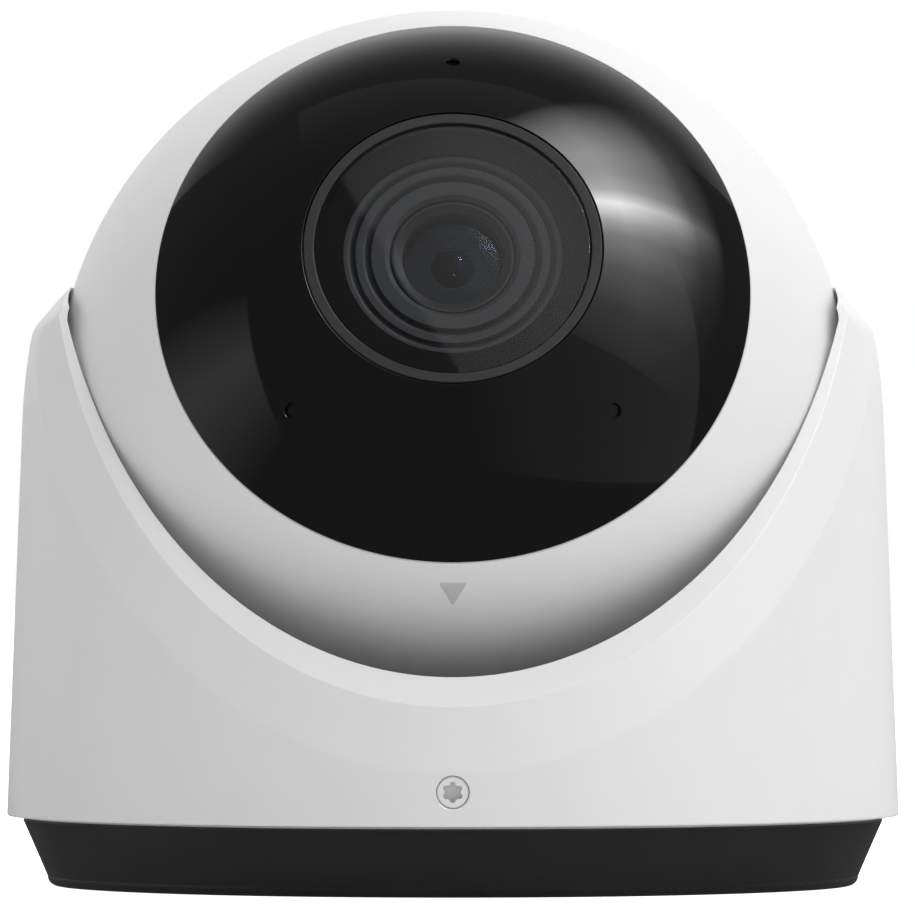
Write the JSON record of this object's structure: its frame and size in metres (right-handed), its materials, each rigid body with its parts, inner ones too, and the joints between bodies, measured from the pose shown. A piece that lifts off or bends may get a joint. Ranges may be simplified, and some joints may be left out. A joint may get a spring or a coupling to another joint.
{
  "type": "turret security camera",
  "caption": "Turret security camera: a ball-shaped camera head with a black glossy face, held in a round housing that pans on a flat mounting base.",
  "frame": {"origin": "centre of the mounting base underside", "axes": "+Z away from the mounting surface along the pan axis, the lens looks towards -Y at rest, +X to the right seen from the front"},
  "size_m": [0.11, 0.11, 0.1078],
  "materials": {
    "white_paint": "white powder coat on die-cast aluminium",
    "base_black": "fine matt moulding",
    "face_black": "polished, passes infrared light",
    "ring_black": "satin black anodised",
    "window_glass": "clear coated glass",
    "lens_glass": "coated lens glass",
    "rubber": "matt",
    "inner_black": "matt",
    "barrel_black": "black anodised",
    "steel": "plain",
    "mark_grey": "printed",
    "nylon": "natural",
    "board_green": "solder mask",
    "chip_black": "moulded",
    "connector_white": "moulded",
    "led_clear": "clear epoxy",
    "smoked_epoxy": "smoked, passes a little light",
    "sensor": "silicon under glass",
    "filter_red": "infrared blocking",
    "copper_film": "polyimide",
    "heat_aluminium": "extruded",
    "chassis_steel": "zinc plated",
    "brass": "plain",
    "card_black": "moulded"
  },
  "bodies": {
    "base": {"mounting_base": "base_black", "glide_ring": "nylon", "collar_seal": "rubber", "cable_grommet": "rubber"},
    "housing": {"housing_cover": "white_paint", "seat_ring": "inner_black", "friction_ring": "nylon", "seat_screws": "steel"},
    "lock_slide": {"lock_seal": "rubber"},
    "lock_screw": {"lock_screw": "white_paint"},
    "swivel": {"swivel_bush": "inner_black"},
    "ir_cut": {"ir_cut_frame": "inner_black", "ir_filter": "filter_red", "clear_filter": "lens_glass"},
    "eyeball": {"board_connectors": "connector_white", "board_spacers": "brass", "cable_socket": "connector_white", "card_slot": "steel", "chassis": "chassis_steel", "chassis_screws": "steel", "cover_seal": "rubber", "direction_mark": "mark_grey", "flex_cable": "copper_film", "front_cover": "face_black", "front_lens": "lens_glass", "front_shell": "white_paint", "heat_sink": "heat_aluminium", "image_sensor": "sensor", "ir_cut_motor": "copper_film", "ir_led_board": "board_green", "ir_leds": "led_clear", "iris_stop": "inner_black", "lens_baffle": "inner_black", "lens_barrel": "barrel_black", "lens_holder": "inner_black", "lens_ring": "ring_black", "light_pipes": "smoked_epoxy", "light_sensor": "chip_black", "light_shield": "rubber", "main_board": "board_green", "memory_card": "card_black", "mic_boot": "rubber", "microphone": "steel", "middle_lens": "lens_glass", "network_board": "board_green", "network_transformer": "chip_black", "processor": "chip_black", "rear_lens": "lens_glass", "rear_shell": "white_paint", "sensor_board": "board_green", "shell_screws": "steel", "shell_seal": "rubber", "status_led": "led_clear", "window_gasket": "rubber", "window_glass": "window_glass"}
  },
  "joints": [
    {"name": "pan", "type": "hinge", "parent": "base", "child": "housing", "pos_m": [0, 0, 0.012], "axis": [0, 0, 1], "range_deg": [-180, 180]},
    {"name": "tilt", "type": "hinge", "parent": "housing", "child": "swivel", "pos_m": [0, 0, 0.0587], "axis": [-1, 0, 0], "range_deg": [-25, 50]},
    {"name": "roll", "type": "hinge", "parent": "swivel", "child": "eyeball", "pos_m": [0, 0, 0.0587], "axis": [0, -0.9063, 0.4226], "range_deg": [-180, 180]},
    {"name": "ir_cut_slide", "type": "slide", "parent": "eyeball", "child": "ir_cut", "axis": [-1, 0, 0], "range_m": [0, 0.0076]},
    {"name": "lock_back_off", "type": "slide", "parent": "housing", "child": "lock_slide", "axis": [0, -1, 0], "range_m": [0, 0.0014]},
    {"name": "lock_turn", "type": "hinge", "parent": "lock_slide", "child": "lock_screw", "pos_m": [0, -0.0525, 0.01277], "axis": [0, -1, 0], "range_deg": [0, 720.5]}
  ],
  "couplings": [
    {"joint": "lock_turn", "follows": "lock_back_off", "rad_per_m": 8976}
  ]
}
